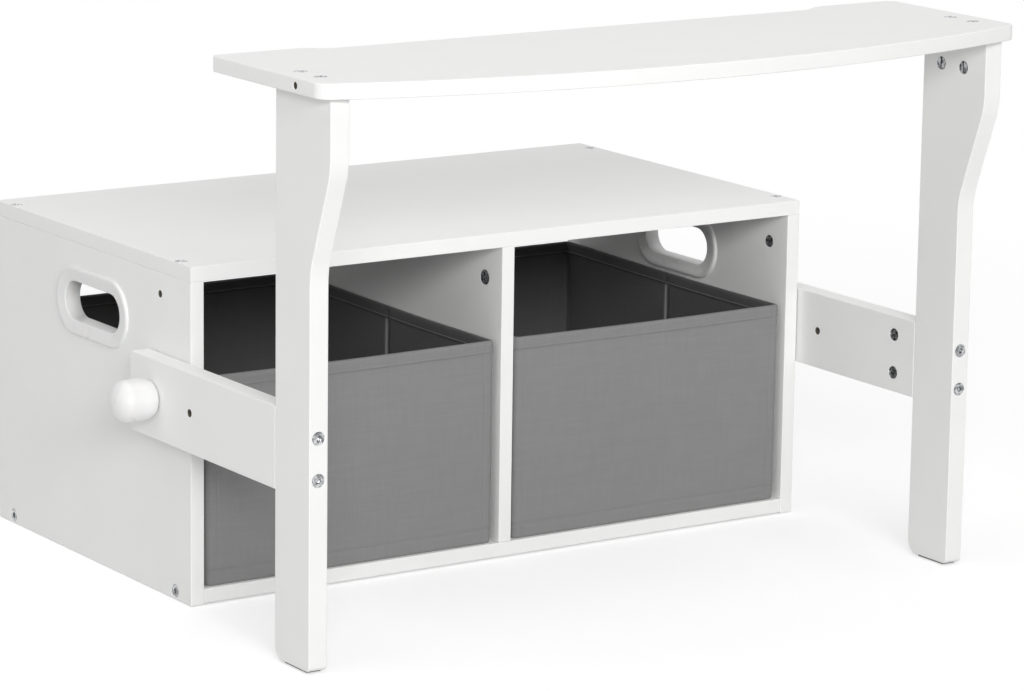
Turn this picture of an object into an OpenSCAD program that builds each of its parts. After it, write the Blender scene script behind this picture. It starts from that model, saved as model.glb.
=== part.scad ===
// Storage bench for children, open in front and behind, with a table frame that swings up to
// become a backrest.
// Sizes are in millimetres. X runs along the width, the open front faces -Y and Z is up.
// The origin is on the ground, below the middle of the whole object's outer box.

/* [Box] */
// Outer width of the box
box_w = 590; // [540:5:660]
// Depth of the box from front to back
box_d = 330; // [310:5:400]
// Height of the seat's top above the ground
box_h = 272; // [262:2:300]
// Thickness of the seat, the sides, the divider and the bottom
board_t = 12; // [12:0.5:15]
// Height of the bottom board's underside above the ground
bottom_gap = 1; // [0.5:0.5:6]

/* [Hand grips] */
// Length of a grip's flange, along the depth of the box
grip_w = 120; // [100:2:140]
// Height of a grip's flange
grip_h = 56; // [52:1:70]
// Length of the finger hole
grip_hole_w = 92; // [80:1:94]
// Height of the finger hole
grip_hole_h = 32; // [28:1:34]
// Thickness of a grip's flange
grip_flange_t = 2.5; // [1.5:0.5:4]
// Thickness of each of the two collars that line the finger hole
grip_collar_t = 2.5; // [2:0.25:3]
// Distance from the box's front to the middle of the grips
grip_from_front = 160; // [140:1:190]
// Distance from the seat's top to the middle of the grips
grip_from_top = 60; // [52:1:75]

/* [Bins] */
// Clear space between the bins' rims and the seat's underside
bin_top_gap = 77; // [50:1:120]
// Clear space between a bin and each wall beside it
bin_side_gap = 4.5; // [2:0.5:10]
// Distance of the bins behind the box's front
bin_front_gap = 3; // [1:0.5:10]
// Distance of the bins in front of the box's open back
bin_rear_gap = 8; // [2:0.5:20]
// Thickness of one layer of the bins' fabric
cloth_t = 0.6; // [0.4:0.1:1]
// Thickness of the stiffening boards inside the bins' walls
stiffener_t = 2; // [1.5:0.25:3]
// Thickness of the loose board on a bin's floor
base_board_t = 3; // [2:0.5:5]
// Height of the binding sewn over a bin's rim
binding_h = 10; // [6:1:20]
// Radius of a bin's upright corners
bin_corner_r = 5; // [4:0.5:8]

/* [Tabletop] */
// Height of the tabletop's upper face above the ground
table_h = 450; // [430:2:480]
// Distance that the tabletop reaches past the outer face of each leg
table_end_overhang = 11; // [4:1:40]
// Thickness of the tabletop
table_t = 12; // [12:0.5:16]
// Depth of the tabletop at its two ends
table_end_d = 160; // [150:2:180]
// Depth that the curved front adds at its middle
table_crown = 52; // [20:2:60]
// Depth of the shallow recess in the rear edge
table_recess = 12; // [4:1:18]
// Width of that recess between the middles of its sloped ends
table_recess_w = 470; // [400:5:500]
// Distance that the tabletop reaches behind the legs
table_rear_overhang = 78; // [60:1:80]
// Radius of the tabletop's front corners
table_front_r = 15; // [8:1:25]
// Radius of the tabletop's rear corners
table_rear_r = 7; // [4:1:20]

/* [Legs and arms] */
// Clear distance between the box's front and the legs
leg_reach = 158; // [150:2:190]
// Thickness of the legs and arms
leg_t = 16; // [16:0.5:20]
// Width of the legs' lower part
leg_w = 50; // [46:1:56]
// Width of the legs at the top
leg_top_w = 78; // [70:1:84]
// Distance from the legs' top down to where their front edge starts to slope back
bend_drop = 54; // [40:1:70]
// Height of that slope
bend_slope_h = 78; // [60:1:100]
// Radius of the two bends in the legs' front edge
bend_r = 60; // [20:5:100]
// Radius of the legs' rear lower corner
foot_rear_r = 10; // [4:1:14]
// Radius of the legs' front lower corner
foot_front_r = 4; // [2:1:10]
// Thickness of the glides under the legs
glide_t = 1.5; // [1:0.25:4]
// Height of the arms
arm_h = 64; // [60:1:76]
// Height of the arms' centre line and of the pivots above the ground
arm_z = 164; // [150:1:176]
// Distance from the box's front back to the pivots
pivot_inset = 32; // [30:1:60]
// Distance that an arm reaches behind its pivot
arm_tail = 35; // [28:1:40]
// Clear space between the box and the table frame on each side
side_gap = 1; // [0.5:0.25:4]
// Radius of the arms' rear corners
arm_r = 3; // [1:1:12]

/* [Pivot knobs] */
// Largest diameter of a knob
knob_d = 34; // [30:1:42]
// Length of a knob
knob_len = 34; // [30:1:45]
// Diameter of the threaded stud
stud_d = 8; // [6:0.5:10]
// Length of the stud inside the knob
stud_grip = 20; // [14:1:24]
// Diameter of the washer under a knob
washer_d = 22; // [20:1:26]
// Thickness of that washer
washer_t = 1; // [0.8:0.1:1.6]
// Diameter of the spacer between the box and an arm
spacer_d = 26; // [20:1:40]
// Diameter of the pivot nut's flange
pivot_flange_d = 20; // [18:1:26]
// Thickness of that flange
pivot_flange_t = 1.5; // [1:0.25:2.5]
// Diameter of the pivot nut's barrel
pivot_barrel_d = 12; // [11.5:0.25:14]
// Length of the pivot nut with its flange
pivot_nut_len = 9.5; // [7:0.5:11]

/* [Fasteners] */
// Diameter of the bolts' shanks
bolt_d = 6; // [5:0.25:6.5]
// Diameter of the bolts' heads
head_d = 10; // [8.5:0.5:11]
// Height of the bolts' heads
head_t = 4; // [3:0.25:5]
// Width of the heads' hexagonal sockets across the flats
socket_af = 4; // [3:0.25:5]
// Depth of those sockets
socket_depth = 2.5; // [2:0.25:2.75]
// Length of thread that goes beyond a barrel nut's centre
bolt_end = 7; // [6:0.5:10]
// Diameter of the barrel nuts
nut_d = 10; // [9:0.5:11]
// Width of the screwdriver slots in the barrel nuts and cams
slot_w = 1.4; // [1:0.1:2]
// Depth of those slots
slot_depth = 1.2; // [0.8:0.1:2]
// Length of the cross in a cam
cam_cross = 7; // [5:0.5:8]
// Wood left behind a barrel nut or a cam
nut_floor = 2; // [1.5:0.25:3]
// Distance from the box's front and back to its bolts and cams
joint_inset = 26; // [22:1:32]
// Distance from the box's front and back to its dowels
dowel_inset = 90; // [70:2:110]
// Distance from the seat's top down to its barrel nuts
seat_nut_drop = 38.5; // [32:0.5:48]
// Distance from the sides' outer faces to the bottom board's barrel nuts
base_nut_inset = 40; // [34:1:50]
// Distance from the tabletop's upper face down to its barrel nuts
table_nut_drop = 37; // [34:1:48]
// Distance from the legs' rear edge to the nearer tabletop bolt
table_bolt_inset = 22; // [18:1:24]
// Distance between the two tabletop bolts of a leg
table_bolt_pitch = 28; // [24:1:30]
// Distance from an arm's front end back to its barrel nuts
arm_nut_inset = 27; // [22:1:36]
// Distance between the two bolts of an arm
arm_bolt_pitch = 32; // [26:1:38]
// Diameter of the wooden dowels
dowel_d = 6; // [5:0.5:6.5]
// Length of dowel that goes into the end of a board
dowel_grip = 20; // [16:1:26]
// Length of dowel that goes into the face of a board
dowel_face_grip = 8; // [6:0.5:9]
// Diameter of the divider's cam locks
cam_d = 12; // [11:0.5:14]
// Distance from the divider's ends to the centres of its cams
cam_inset = 29; // [24:1:36]
// Diameter of the pins that the cams hold
cam_pin_d = 5; // [4:0.25:5.5]

/* [Small holes] */
// Diameter of the through hole in each arm
arm_hole_d = 5.5; // [4:0.25:8]
// Distance from the pivot forwards to that hole
arm_hole_from_pivot = 60; // [50:1:80]
// Diameter of the blind hole in each side and in each end of the tabletop
blind_hole_d = 5; // [4:0.25:7]
// Depth of those blind holes
blind_hole_depth = 8; // [4:0.5:9]
// Distance from the box's front to the blind hole in a side
side_hole_from_front = 48.5; // [40:0.5:60]
// Distance from the seat's top down to the blind hole in a side
side_hole_from_top = 29.5; // [24:0.5:34]
// Distance from the legs' rear edge forwards to the tabletop's blind holes
table_hole_inset = 46; // [30:1:60]

/* [Clearances] */
// Space all round a fastener or grip in its hole
fit = 0.1; // [0.05:0.05:0.2]
// Space round a stud in its arm and its nut
running_fit = 0.06; // [0.03:0.01:0.1]
// Space round a loose board, and between a stud's end and the side it is screwed into
loose_fit = 0.3; // [0.2:0.1:0.5]

/* [Hidden] */
$fn = 48;
arc_steps = 8;
// Length by which a cut runs past a face
cut = 1;

// Places along the depth
table_reach = leg_reach - table_rear_overhang + table_end_d + table_crown;
front_y = (table_reach - box_d) / 2;
back_y = front_y + box_d;
joint_ys = [front_y + joint_inset, back_y - joint_inset];
dowel_ys = [front_y + dowel_inset, back_y - dowel_inset];
pivot_y = front_y + pivot_inset;
grip_y = front_y + grip_from_front;
leg_back = front_y - leg_reach;
leg_front = leg_back - leg_w;
leg_top_front = leg_back - leg_top_w;
arm_back = pivot_y + arm_tail;
arm_nut_y = leg_back + arm_nut_inset;
table_bolt_ys = [leg_back - table_bolt_inset, leg_back - table_bolt_inset - table_bolt_pitch];
table_rear = leg_back + table_rear_overhang;
table_front = front_y - table_reach;

// Places along the width, on the right-hand side
side_x = box_w / 2 - board_t;
frame_x = box_w / 2 + side_gap;
frame_mid_x = frame_x + leg_t / 2;
frame_out_x = frame_x + leg_t;
table_w = 2 * (frame_out_x + table_end_overhang);

// Places along the height
bottom_top = bottom_gap + board_t;
seat_under = box_h - board_t;
leg_top = table_h - table_t;
bend_high_z = leg_top - bend_drop;
bend_low_z = bend_high_z - bend_slope_h;
arm_bolt_zs = [arm_z - arm_bolt_pitch / 2, arm_z + arm_bolt_pitch / 2];
grip_z = box_h - grip_from_top;

// Openings in the sides for the grips, with the outer collar inside
grip_collar_w = grip_hole_w + 4 * grip_collar_t + 2 * fit;
grip_collar_h = grip_hole_h + 4 * grip_collar_t + 2 * fit;

// Bins
bin_w = (box_w - 3 * board_t) / 2 - 2 * bin_side_gap;
bin_x = (side_x + board_t / 2) / 2;
bin_front = front_y + bin_front_gap;
bin_d = back_y - bin_rear_gap - bin_front;
bin_y = bin_front + bin_d / 2;
bin_top = seat_under - bin_top_gap;
bin_pocket_t = stiffener_t + 2 * fit;
bin_wall = bin_pocket_t + 2 * cloth_t;
bin_floor = 2 * cloth_t;
bin_inner_w = bin_w - 2 * bin_wall;
bin_inner_d = bin_d - 2 * bin_wall;
rim_z = bin_top - cloth_t;
// Space left at each end of a stiffening board, and at the fold in a side wall
stiffener_margin = bin_corner_r;
fold_gap = 4;
stiffener_top = rim_z - 2;

// Tabletop outline
table_arc_r = (pow(table_w / 2, 2) + pow(table_crown, 2)) / (2 * table_crown);
table_arc_y = table_front + table_arc_r;
corner_x = table_w / 2 - table_front_r;
corner_y = table_arc_y - sqrt(pow(table_arc_r - table_front_r, 2) - pow(corner_x, 2));
corner_angle = atan2(corner_y - table_arc_y, corner_x);
// Length along the width of the slope at each end of the recess
recess_run = 14;
recess_turn = atan(table_recess / recess_run);
recess_r = 0.96 * norm([recess_run, table_recess]) / 2 / tan(recess_turn / 2);

// Colours
lacquer = [0.95, 0.95, 0.94];
white_plastic = [0.97, 0.97, 0.96];
grey_cloth = [0.42, 0.43, 0.44];
zinc = [0.55, 0.56, 0.58];
raw_wood = [0.86, 0.73, 0.53];
raw_board = [0.72, 0.62, 0.48];
grey_felt = [0.55, 0.55, 0.55];

// Helpers for outlines

function unit(v) = v / norm(v);

function arc(centre, r, from, to, steps) =
  [for (i = [0:steps]) centre + r * [cos(from + (to - from) * i / steps),
                                     sin(from + (to - from) * i / steps)]];

// Arc that rounds the corner b, between its neighbours a and c, with the radius in b[2]
function corner(a, b, c) =
  let (here = [b[0], b[1]],
       u = unit([a[0], a[1]] - here),
       v = unit([c[0], c[1]] - here),
       half = acos(u * v) / 2,
       centre = here + unit(u + v) * b[2] / sin(half),
       first = here + u * b[2] / tan(half) - centre,
       last = here + v * b[2] / tan(half) - centre,
       from = atan2(first[1], first[0]),
       turn = (atan2(last[1], last[0]) - from + 540) % 360 - 180)
  b[2] == 0 ? [here] : arc(centre, b[2], from, from + turn, arc_steps);

// Outline through points [x, y, radius], each rounded to its own radius
function rounded(p) =
  [for (i = [0:len(p) - 1]) each corner(p[(i + len(p) - 1) % len(p)], p[i], p[(i + 1) % len(p)])];

// Rectangle given by two opposite corners
module rect(x0, y0, x1, y1) {
  translate([x0, y0]) square([x1 - x0, y1 - y0]);
}

// Box given by two opposite corners
module block(low, high) {
  translate(low) cube(high - low);
}

// Rectangle about the origin with half-round ends
module racetrack(w, h) {
  square([w - h, h], center = true);
  for (end = [-1, 1]) translate([end * (w - h) / 2, 0]) circle(d = h);
}

// Rectangle about the origin with round corners
module round_rect(w, d, r) {
  square([w, d - 2 * r], center = true);
  square([w - 2 * r, d], center = true);
  for (x = [-1, 1], y = [-1, 1]) translate([x * (w / 2 - r), y * (d / 2 - r)]) circle(r = r);
}

// Extrudes an outline drawn in Y and Z, from x along +X
module upright(x, t) {
  translate([x, 0, 0]) rotate([90, 0, 90]) linear_extrude(t) children();
}

// Turns what points up so that it points inwards from a side, 1 for the right and -1 for the left
module inwards(side) {
  rotate([0, -side * 90, 0]) children();
}

module on_both_sides() {
  children();
  mirror([1, 0, 0]) children();
}

// Fasteners, each with its visible face at the origin and its body below

module bolt(length) {
  difference() {
    union() {
      translate([0, 0, -head_t]) cylinder(d = head_d, h = head_t);
      translate([0, 0, -length]) cylinder(d = bolt_d, h = length - head_t / 2);
    }
    translate([0, 0, -socket_depth])
      cylinder(d = socket_af / cos(30), h = socket_depth + cut, $fn = 6);
  }
}

module bolt_hole(length) {
  translate([0, 0, -head_t]) cylinder(d = head_d + 2 * fit, h = head_t + cut);
  translate([0, 0, -length - cut]) cylinder(d = bolt_d + 2 * fit, h = length + cut);
}

// Barrel nut whose thread runs along X at the given depth
module barrel_nut(length, thread_depth) {
  difference() {
    translate([0, 0, -length]) cylinder(d = nut_d, h = length);
    translate([-nut_d, 0, -thread_depth]) rotate([0, 90, 0])
      cylinder(d = bolt_d + 2 * fit, h = 2 * nut_d);
    cube([nut_d + cut, slot_w, 2 * slot_depth], center = true);
  }
}

module barrel_hole(length) {
  translate([0, 0, -length]) cylinder(d = nut_d + 2 * fit, h = length + cut);
}

module cam(length, pin_depth) {
  difference() {
    translate([0, 0, -length]) cylinder(d = cam_d, h = length);
    translate([-cam_d, 0, -pin_depth]) rotate([0, 90, 0])
      cylinder(d = cam_pin_d + 2 * fit, h = 2 * cam_d);
    for (turn = [0, 90]) rotate([0, 0, turn]) cube([cam_cross, slot_w, 2 * slot_depth], center = true);
  }
}

// Dowel across a joint at the origin, with its short end above
module dowel(below) {
  translate([0, 0, -below]) cylinder(d = dowel_d, h = below + dowel_face_grip);
}

module dowel_hole(below) {
  translate([0, 0, -below - cut / 2])
    cylinder(d = dowel_d + 2 * fit, h = below + dowel_face_grip + cut);
}

// Places of the fasteners

module at_seat_bolts() {
  for (side = [-1, 1], y = joint_ys) translate([side * (side_x + board_t / 2), y, box_h]) children();
}

module at_seat_nuts() {
  for (side = [-1, 1], y = joint_ys)
    translate([side * side_x, y, box_h - seat_nut_drop]) inwards(side) children();
}

module at_base_bolts() {
  for (side = [-1, 1], y = joint_ys)
    translate([side * box_w / 2, y, bottom_gap + board_t / 2]) inwards(-side) children();
}

module at_base_nuts() {
  for (side = [-1, 1], y = joint_ys)
    translate([side * (box_w / 2 - base_nut_inset), y, bottom_gap]) rotate([180, 0, 0]) children();
}

// Cams in the divider's left face, near its top and its bottom
module at_cams() {
  for (z = [bottom_top + cam_inset, seat_under - cam_inset], y = joint_ys)
    translate([-board_t / 2, y, z]) inwards(1) children();
}

// Ends of the divider, seen from the divider, so that +Z goes into the seat or the bottom
module at_cam_pins() {
  for (y = joint_ys) {
    translate([0, y, seat_under]) children();
    translate([0, y, bottom_top]) rotate([180, 0, 0]) children();
  }
}

// Joints under the seat and on the bottom board, each with +Z into the face of the board it meets
module at_box_dowels() {
  for (y = dowel_ys) {
    for (side = [-1, 1]) {
      translate([side * (side_x + board_t / 2), y, seat_under]) children();
      translate([side * side_x, y, bottom_gap + board_t / 2]) inwards(-side) children();
    }
    translate([0, y, seat_under]) children();
    translate([0, y, bottom_top]) rotate([180, 0, 0]) children();
  }
}

module at_tabletop_bolts() {
  for (side = [-1, 1], y = table_bolt_ys) translate([side * frame_mid_x, y, table_h]) children();
}

module at_tabletop_nuts() {
  for (side = [-1, 1], y = table_bolt_ys)
    translate([side * frame_x, y, table_h - table_nut_drop]) inwards(side) children();
}

module at_arm_bolts() {
  for (side = [-1, 1], z = arm_bolt_zs) translate([side * frame_mid_x, leg_front, z])
    rotate([90, 0, 0]) children();
}

module at_arm_nuts() {
  for (side = [-1, 1], z = arm_bolt_zs)
    translate([side * frame_x, arm_nut_y, z]) inwards(side) rotate([0, 0, 90]) children();
}

// Dowels between the legs and the tabletop, midway between the bolts
module at_leg_dowels() {
  for (side = [-1, 1]) translate([side * frame_mid_x, (table_bolt_ys[0] + table_bolt_ys[1]) / 2, leg_top])
    children();
}

// Dowels between the arms and the legs, midway between the bolts
module at_arm_dowels() {
  for (side = [-1, 1]) translate([side * frame_mid_x, leg_back, arm_z]) rotate([90, 0, 0]) children();
}

module at_pivots() {
  for (side = [-1, 1]) translate([side * side_x, pivot_y, arm_z]) inwards(side) children();
}

// Lengths that follow from those places
seat_bolt_len = seat_nut_drop + bolt_end;
base_bolt_len = base_nut_inset + bolt_end;
tabletop_bolt_len = table_nut_drop + bolt_end;
arm_bolt_len = leg_w + arm_nut_inset + bolt_end;
box_nut_len = board_t - nut_floor;
leg_nut_len = leg_t - nut_floor;

// Box

module seat_board() {
  color(lacquer) difference() {
    block([-box_w / 2, front_y, seat_under], [box_w / 2, back_y, box_h]);
    at_seat_bolts() bolt_hole(seat_bolt_len);
    at_cam_pins() cylinder(d = cam_pin_d + 2 * fit, h = 2 * (dowel_face_grip + cut), center = true);
    at_box_dowels() dowel_hole(dowel_grip);
  }
}

module side_board() {
  difference() {
    upright(side_x, board_t) difference() {
      rect(front_y, 0, back_y, seat_under);
      translate([grip_y, grip_z]) racetrack(grip_collar_w + 2 * fit, grip_collar_h + 2 * fit);
    }
    at_seat_bolts() bolt_hole(seat_bolt_len);
    at_seat_nuts() barrel_hole(box_nut_len);
    at_base_bolts() bolt_hole(base_bolt_len);
    at_box_dowels() dowel_hole(dowel_grip);
    at_pivots() {
      translate([0, 0, -pivot_flange_t]) cylinder(d = pivot_flange_d + 2 * fit, h = pivot_flange_t + cut);
      translate([0, 0, -pivot_nut_len]) cylinder(d = pivot_barrel_d + 2 * fit, h = pivot_nut_len);
      translate([0, 0, -board_t - cut]) cylinder(d = stud_d + 4 * fit, h = board_t + cut);
    }
    translate([box_w / 2, front_y + side_hole_from_front, box_h - side_hole_from_top]) rotate([0, 90, 0])
      cylinder(d = blind_hole_d, h = 2 * blind_hole_depth, center = true);
  }
}

module left_side() {
  color(lacquer) mirror([1, 0, 0]) side_board();
}

module right_side() {
  color(lacquer) side_board();
}

module divider() {
  color(lacquer) difference() {
    block([-board_t / 2, front_y, bottom_top], [board_t / 2, back_y, seat_under]);
    at_cams() translate([0, 0, -box_nut_len]) cylinder(d = cam_d + 2 * fit, h = box_nut_len + cut);
    at_cam_pins() translate([0, 0, -cam_inset]) cylinder(d = cam_pin_d + 2 * fit, h = cam_inset + cut);
    at_box_dowels() dowel_hole(dowel_grip);
  }
}

module bottom_board() {
  color(lacquer) difference() {
    block([-side_x, front_y, bottom_gap], [side_x, back_y, bottom_top]);
    at_base_bolts() bolt_hole(base_bolt_len);
    at_base_nuts() barrel_hole(box_nut_len);
    at_cam_pins() cylinder(d = cam_pin_d + 2 * fit, h = 2 * (dowel_face_grip + cut), center = true);
    at_box_dowels() dowel_hole(dowel_grip);
  }
}

// Outer half of a grip: flange outside, and a collar through the side
module grip_outer() {
  color(white_plastic) translate([0, grip_y, grip_z]) {
    upright(box_w / 2, grip_flange_t) difference() {
      racetrack(grip_w, grip_h);
      racetrack(grip_hole_w, grip_hole_h);
    }
    upright(side_x, board_t) difference() {
      racetrack(grip_collar_w, grip_collar_h);
      racetrack(grip_collar_w - 2 * grip_collar_t, grip_collar_h - 2 * grip_collar_t);
    }
  }
}

// Inner half of a grip: flange inside, and a collar that snaps into the outer one
module grip_inner() {
  color(white_plastic) translate([0, grip_y, grip_z]) {
    upright(side_x - grip_flange_t, grip_flange_t) difference() {
      racetrack(grip_w, grip_h);
      racetrack(grip_hole_w, grip_hole_h);
    }
    upright(side_x - grip_flange_t, board_t + grip_flange_t) difference() {
      racetrack(grip_hole_w + 2 * grip_collar_t, grip_hole_h + 2 * grip_collar_t);
      racetrack(grip_hole_w, grip_hole_h);
    }
  }
}

module left_grip_outer() {
  mirror([1, 0, 0]) grip_outer();
}

module left_grip_inner() {
  mirror([1, 0, 0]) grip_inner();
}

module right_grip_outer() {
  grip_outer();
}

module right_grip_inner() {
  grip_inner();
}

module seat_bolts() {
  color(zinc) at_seat_bolts() bolt(seat_bolt_len);
}

module seat_barrel_nuts() {
  color(zinc) at_seat_nuts() barrel_nut(box_nut_len, board_t / 2);
}

module base_bolts() {
  color(zinc) at_base_bolts() bolt(base_bolt_len);
}

module base_barrel_nuts() {
  color(zinc) at_base_nuts() barrel_nut(box_nut_len, board_t / 2);
}

module divider_cams() {
  color(zinc) at_cams() cam(box_nut_len, board_t / 2);
}

module divider_cam_pins() {
  color(zinc) at_cam_pins() translate([0, 0, -cam_inset])
    cylinder(d = cam_pin_d, h = cam_inset + dowel_face_grip);
}

module box_dowels() {
  color(raw_wood) at_box_dowels() dowel(dowel_grip);
}

// Flanged nuts in the sides, which the knobs' studs screw into
module pivot_nuts() {
  color(zinc) at_pivots() difference() {
    union() {
      translate([0, 0, -pivot_flange_t]) cylinder(d = pivot_flange_d, h = pivot_flange_t);
      translate([0, 0, -pivot_nut_len]) cylinder(d = pivot_barrel_d, h = pivot_nut_len);
    }
    translate([0, 0, -pivot_nut_len - cut])
      cylinder(d = stud_d + 2 * running_fit, h = pivot_nut_len + 2 * cut);
  }
}

// Thin rings that keep the arms off the sides
module pivot_spacers() {
  color(white_plastic) at_pivots() translate([0, 0, -board_t - side_gap]) difference() {
    cylinder(d = spacer_d, h = side_gap);
    translate([0, 0, -cut]) cylinder(d = stud_d + 2 * fit, h = side_gap + 2 * cut);
  }
}

// Table frame

module tabletop_outline() {
  slope_out = (table_recess_w + recess_run) / 2;
  slope_in = (table_recess_w - recess_run) / 2;
  deep = table_rear - table_recess;
  rear = [[table_w / 2, corner_y, 0], [table_w / 2, table_rear, table_rear_r],
          [slope_out, table_rear, recess_r], [slope_in, deep, recess_r],
          [-slope_in, deep, recess_r], [-slope_out, table_rear, recess_r],
          [-table_w / 2, table_rear, table_rear_r], [-table_w / 2, corner_y, 0]];
  polygon(concat(
    arc([0, table_arc_y], table_arc_r, -180 - corner_angle, corner_angle, 4 * arc_steps),
    arc([corner_x, corner_y], table_front_r, corner_angle, 0, arc_steps),
    [for (i = [1:len(rear) - 2]) each corner(rear[i - 1], rear[i], rear[i + 1])],
    arc([-corner_x, corner_y], table_front_r, -180, -180 - corner_angle, arc_steps)));
}

module tabletop() {
  color(lacquer) difference() {
    translate([0, 0, leg_top]) linear_extrude(table_t) tabletop_outline();
    at_tabletop_bolts() bolt_hole(tabletop_bolt_len);
    at_leg_dowels() dowel_hole(dowel_grip);
    on_both_sides() translate([table_w / 2, leg_back - table_hole_inset, table_h - table_t / 2])
      rotate([0, 90, 0]) cylinder(d = blind_hole_d, h = 2 * blind_hole_depth, center = true);
  }
}

module leg() {
  difference() {
    upright(frame_x, leg_t)
      polygon(rounded([[leg_back, glide_t, foot_rear_r], [leg_back, leg_top, 0],
                       [leg_top_front, leg_top, 0], [leg_top_front, bend_high_z, bend_r],
                       [leg_front, bend_low_z, bend_r], [leg_front, glide_t, foot_front_r]]));
    at_tabletop_bolts() bolt_hole(tabletop_bolt_len);
    at_tabletop_nuts() barrel_hole(leg_nut_len);
    at_arm_bolts() bolt_hole(arm_bolt_len);
    at_leg_dowels() dowel_hole(dowel_grip);
    at_arm_dowels() arm_dowel_hole();
  }
}

module left_leg() {
  color(lacquer) mirror([1, 0, 0]) leg();
}

module right_leg() {
  color(lacquer) leg();
}

module arm() {
  difference() {
    upright(frame_x, leg_t)
      polygon(rounded([[leg_back, arm_z - arm_h / 2, 0], [arm_back, arm_z - arm_h / 2, arm_r],
                       [arm_back, arm_z + arm_h / 2, arm_r], [leg_back, arm_z + arm_h / 2, 0]]));
    at_arm_bolts() bolt_hole(arm_bolt_len);
    at_arm_nuts() barrel_hole(leg_nut_len);
    at_arm_dowels() arm_dowel_hole();
    translate([frame_mid_x, pivot_y, arm_z]) rotate([0, 90, 0])
      cylinder(d = stud_d + 2 * running_fit, h = leg_t + 2 * cut, center = true);
    translate([frame_mid_x, pivot_y - arm_hole_from_pivot, arm_z]) rotate([0, 90, 0])
      cylinder(d = arm_hole_d, h = leg_t + 2 * cut, center = true);
  }
}

module left_arm() {
  color(lacquer) mirror([1, 0, 0]) arm();
}

module right_arm() {
  color(lacquer) arm();
}

module tabletop_bolts() {
  color(zinc) at_tabletop_bolts() bolt(tabletop_bolt_len);
}

module tabletop_barrel_nuts() {
  color(zinc) at_tabletop_nuts() barrel_nut(leg_nut_len, leg_t / 2);
}

module arm_bolts() {
  color(zinc) at_arm_bolts() bolt(arm_bolt_len);
}

module arm_barrel_nuts() {
  color(zinc) at_arm_nuts() barrel_nut(leg_nut_len, leg_t / 2);
}

module arm_dowel_hole() {
  cylinder(d = dowel_d + 2 * fit, h = 2 * dowel_grip + cut, center = true);
}

module frame_dowels() {
  color(raw_wood) {
    at_leg_dowels() dowel(dowel_grip);
    at_arm_dowels() cylinder(d = dowel_d, h = 2 * dowel_grip, center = true);
  }
}

// Thin pads glued under the legs
module leg_glides() {
  margin = 2;
  color(grey_felt) on_both_sides()
    block([frame_x + margin, leg_front + foot_front_r + margin, 0],
          [frame_out_x - margin, leg_back - foot_rear_r - margin, glide_t]);
}

// Knobs, drawn with the axis along +Z and the base on the washer

module knob_profile() {
  base_r = knob_d * 0.42;
  neck = knob_len * 0.28;
  dome = knob_len * 0.36;
  difference() {
    polygon(concat(
      [[0, 0], [base_r - 1, 0], [base_r, 1]],
      [for (i = [1:arc_steps]) [base_r + (knob_d / 2 - base_r) * sin(90 * i / arc_steps),
                                1 + (neck - 1) * i / arc_steps]],
      [for (i = [0:2 * arc_steps]) [knob_d / 2 * cos(45 * i / arc_steps),
                                    knob_len - dome + dome * sin(45 * i / arc_steps)]]));
    rect(-1, -1, stud_d / 2 + fit / 2, stud_grip);
  }
}

module knob() {
  color(white_plastic) translate([frame_out_x + washer_t, pivot_y, arm_z]) rotate([0, 90, 0])
    rotate_extrude() knob_profile();
}

module knob_stud() {
  start = side_x + loose_fit;
  color(zinc) translate([start, pivot_y, arm_z]) rotate([0, 90, 0])
    cylinder(d = stud_d, h = frame_out_x + washer_t + stud_grip - start);
}

module knob_washer() {
  color(zinc) translate([frame_out_x, pivot_y, arm_z]) rotate([0, 90, 0]) difference() {
    cylinder(d = washer_d, h = washer_t);
    translate([0, 0, -cut]) cylinder(d = stud_d + 2 * fit, h = washer_t + 2 * cut);
  }
}

module left_knob() {
  mirror([1, 0, 0]) knob();
}

module left_knob_stud() {
  mirror([1, 0, 0]) knob_stud();
}

module left_knob_washer() {
  mirror([1, 0, 0]) knob_washer();
}

module right_knob() {
  knob();
}

module right_knob_stud() {
  knob_stud();
}

module right_knob_washer() {
  knob_washer();
}

// Bins, drawn on the right-hand side

// Ring of a bin's wall, grown by a thickness on both faces
module bin_ring(grow) {
  difference() {
    round_rect(bin_w + 2 * grow, bin_d + 2 * grow, bin_corner_r + grow);
    round_rect(bin_inner_w - 2 * grow, bin_inner_d - 2 * grow, bin_corner_r - grow - cloth_t);
  }
}

// Boards in a bin's walls, grown all round for their pockets
module wall_boards(grow, low, high) {
  long = bin_w - 2 * bin_wall - 2 * stiffener_margin;
  half = (bin_d - 2 * bin_wall - 2 * stiffener_margin - fold_gap) / 2;
  offset_x = bin_w / 2 - bin_wall / 2;
  offset_y = bin_d / 2 - bin_wall / 2;
  translate([bin_x, bin_y, low]) linear_extrude(high - low) {
    for (end = [-1, 1]) {
      translate([0, end * offset_y]) square([long + 2 * grow, stiffener_t + 2 * grow], center = true);
      for (side = [-1, 1]) translate([side * offset_x, end * (half + fold_gap) / 2])
        square([stiffener_t + 2 * grow, half + 2 * grow], center = true);
    }
  }
}

module bin_shell() {
  color(grey_cloth) difference() {
    translate([bin_x, bin_y, bottom_top]) linear_extrude(rim_z - bottom_top)
      round_rect(bin_w, bin_d, bin_corner_r);
    translate([bin_x, bin_y, bottom_top + bin_floor]) linear_extrude(seat_under)
      round_rect(bin_inner_w, bin_inner_d, bin_corner_r - cloth_t);
    wall_boards(fit, bottom_top + bin_floor, bin_top);
  }
}

module bin_binding() {
  color(grey_cloth) difference() {
    translate([bin_x, bin_y, bin_top - binding_h]) linear_extrude(binding_h) bin_ring(cloth_t);
    translate([bin_x, bin_y, bin_top - binding_h - cut]) linear_extrude(binding_h + cut - cloth_t)
      bin_ring(0.02);
  }
}

module bin_stiffeners() {
  color(raw_board) wall_boards(0, bottom_top + bin_floor, stiffener_top);
}

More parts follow.
